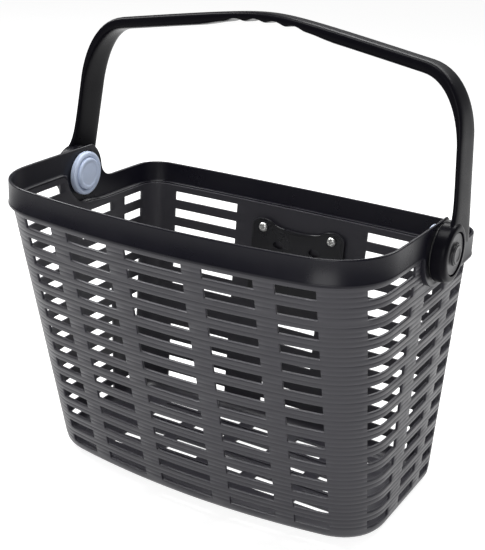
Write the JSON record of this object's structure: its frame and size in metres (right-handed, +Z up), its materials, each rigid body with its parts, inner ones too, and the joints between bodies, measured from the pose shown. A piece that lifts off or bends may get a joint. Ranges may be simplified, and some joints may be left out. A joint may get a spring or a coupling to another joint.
{
  "type": "handlebar basket",
  "caption": "Click-on moulded slatted bicycle basket with a swinging carrying handle, push-button handle pivots and a handlebar adapter plate on its back.",
  "frame": {"origin": "centre of the object's box in plan, at the underside of the base", "axes": "+X along the long walls, to the right seen from the front; -Y to the front, away from the handlebar; +Z up"},
  "size_m": [0.3814, 0.2806, 0.4101],
  "materials": {
    "body_moulding": "fine satin grain",
    "handle_moulding": "satin",
    "grey_moulding": "satin",
    "dark_moulding": "satin",
    "zinc_steel": "zinc plated",
    "nylon": "black, plain"
  },
  "bodies": {
    "basket": {"basket_body": "body_moulding", "pivot_bush_L": "grey_moulding", "pivot_bush_R": "grey_moulding", "button_spring_L": "zinc_steel", "button_spring_R": "zinc_steel", "eye_washer_L": "nylon", "eye_washer_R": "nylon", "backing_plate": "dark_moulding", "adapter_plate": "dark_moulding", "adapter_screw_1": "zinc_steel", "adapter_screw_2": "zinc_steel", "adapter_screw_3": "zinc_steel", "adapter_screw_4": "zinc_steel", "adapter_nut_1": "zinc_steel", "adapter_nut_2": "zinc_steel", "adapter_nut_3": "zinc_steel", "adapter_nut_4": "zinc_steel"},
    "carrying_handle": {"handle": "handle_moulding"},
    "left_button": {"release_button_L": "grey_moulding", "clutch_plate_L": "dark_moulding", "clutch_screw_L": "zinc_steel", "hub_cap_L": "dark_moulding"},
    "right_button": {"release_button_R": "grey_moulding", "clutch_plate_R": "dark_moulding", "clutch_screw_R": "zinc_steel", "hub_cap_R": "dark_moulding"}
  },
  "joints": [
    {"name": "handle_pivot", "type": "hinge", "parent": "basket", "child": "carrying_handle", "pos_m": [0, 0.00669, 0.248], "axis": [1, 0, 0], "range_deg": [-75, 80]},
    {"name": "left_button_press", "type": "slide", "parent": "basket", "child": "left_button", "axis": [-1, 0, 0], "range_m": [0, 0.003], "stiffness_N_per_m": 900, "springref_m": -0.004, "deforming": ["button_spring_L"]},
    {"name": "right_button_press", "type": "slide", "parent": "basket", "child": "right_button", "axis": [1, 0, 0], "range_m": [0, 0.003], "stiffness_N_per_m": 900, "springref_m": -0.004, "deforming": ["button_spring_R"]}
  ]
}
